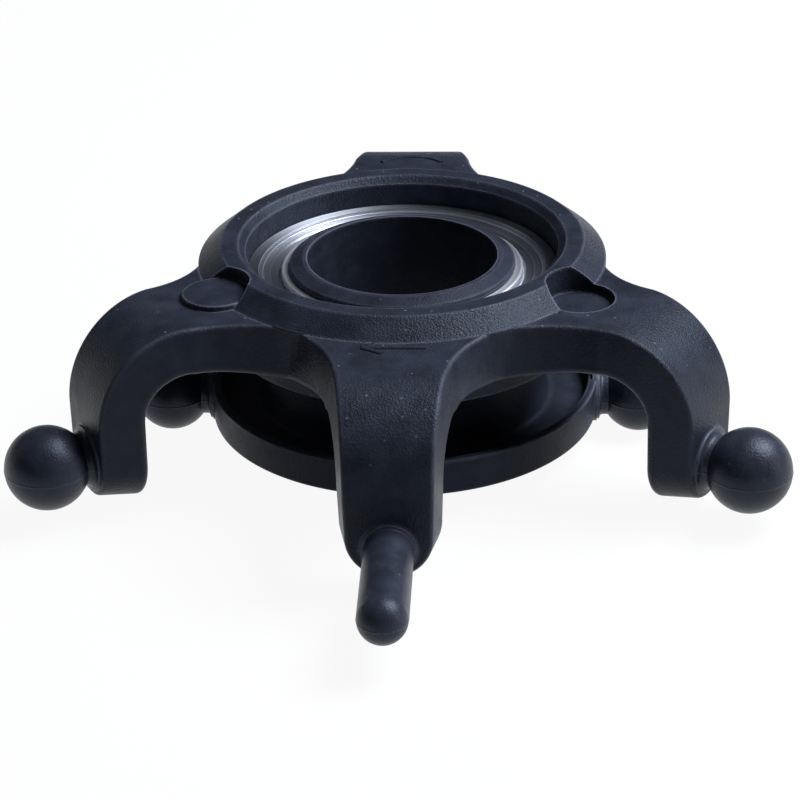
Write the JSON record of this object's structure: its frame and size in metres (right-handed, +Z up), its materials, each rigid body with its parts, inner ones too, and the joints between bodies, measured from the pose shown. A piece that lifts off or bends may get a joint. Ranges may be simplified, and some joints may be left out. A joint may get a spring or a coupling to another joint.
{
  "type": "helicopter swashplate",
  "caption": "Helicopter swashplate: moulded outer spider with claw arms, link balls and an anti-rotation pin, joined by a shielded ball bearing to a rotating lower plate.",
  "frame": {"origin": "on the mast axis, level with the centres of the outer spider's link balls", "axes": "+Z up along the mast, -Y along the anti-rotation pin, +X to the right of the pin seen from in front of it"},
  "size_m": [0.051, 0.0619, 0.0142],
  "materials": {
    "spider_nylon": "black moulded nylon with a fine spark-eroded grain",
    "plate_nylon": "black moulded nylon, smoother, semi-matt",
    "bearing_steel": "ground and polished bearing steel",
    "shield_steel": "pressed sheet steel, dull",
    "spring_wire": "bright spring wire",
    "cage_nylon": "natural moulded nylon",
    "ball_steel": "lapped"
  },
  "bodies": {
    "spider": {"outer_spider": "spider_nylon", "bearing_outer_race": "bearing_steel", "bearing_shield_top": "shield_steel", "bearing_shield_bottom": "shield_steel", "shield_snap_ring_top": "spring_wire", "shield_snap_ring_bottom": "spring_wire"},
    "rotor": {"lower_plate": "plate_nylon", "bearing_inner_race": "bearing_steel"},
    "ball_set": {"bearing_cage": "cage_nylon", "bearing_ball_01": "ball_steel", "bearing_ball_02": "ball_steel", "bearing_ball_03": "ball_steel", "bearing_ball_04": "ball_steel", "bearing_ball_05": "ball_steel", "bearing_ball_06": "ball_steel", "bearing_ball_07": "ball_steel", "bearing_ball_08": "ball_steel", "bearing_ball_09": "ball_steel", "bearing_ball_10": "ball_steel", "bearing_ball_11": "ball_steel", "bearing_ball_12": "ball_steel", "bearing_ball_13": "ball_steel", "bearing_ball_14": "ball_steel", "bearing_ball_15": "ball_steel"}
  },
  "joints": [
    {"name": "rotor_spin", "type": "hinge", "parent": "spider", "child": "rotor", "pos_m": [0, 0, 0], "axis": [0, 0, 1], "continuous": true},
    {"name": "ball_set_orbit", "type": "hinge", "parent": "spider", "child": "ball_set", "pos_m": [0, 0, 0], "axis": [0, 0, 1], "continuous": true}
  ],
  "couplings": [
    {"joint": "ball_set_orbit", "follows": "rotor_spin", "ratio": 0.4559}
  ]
}
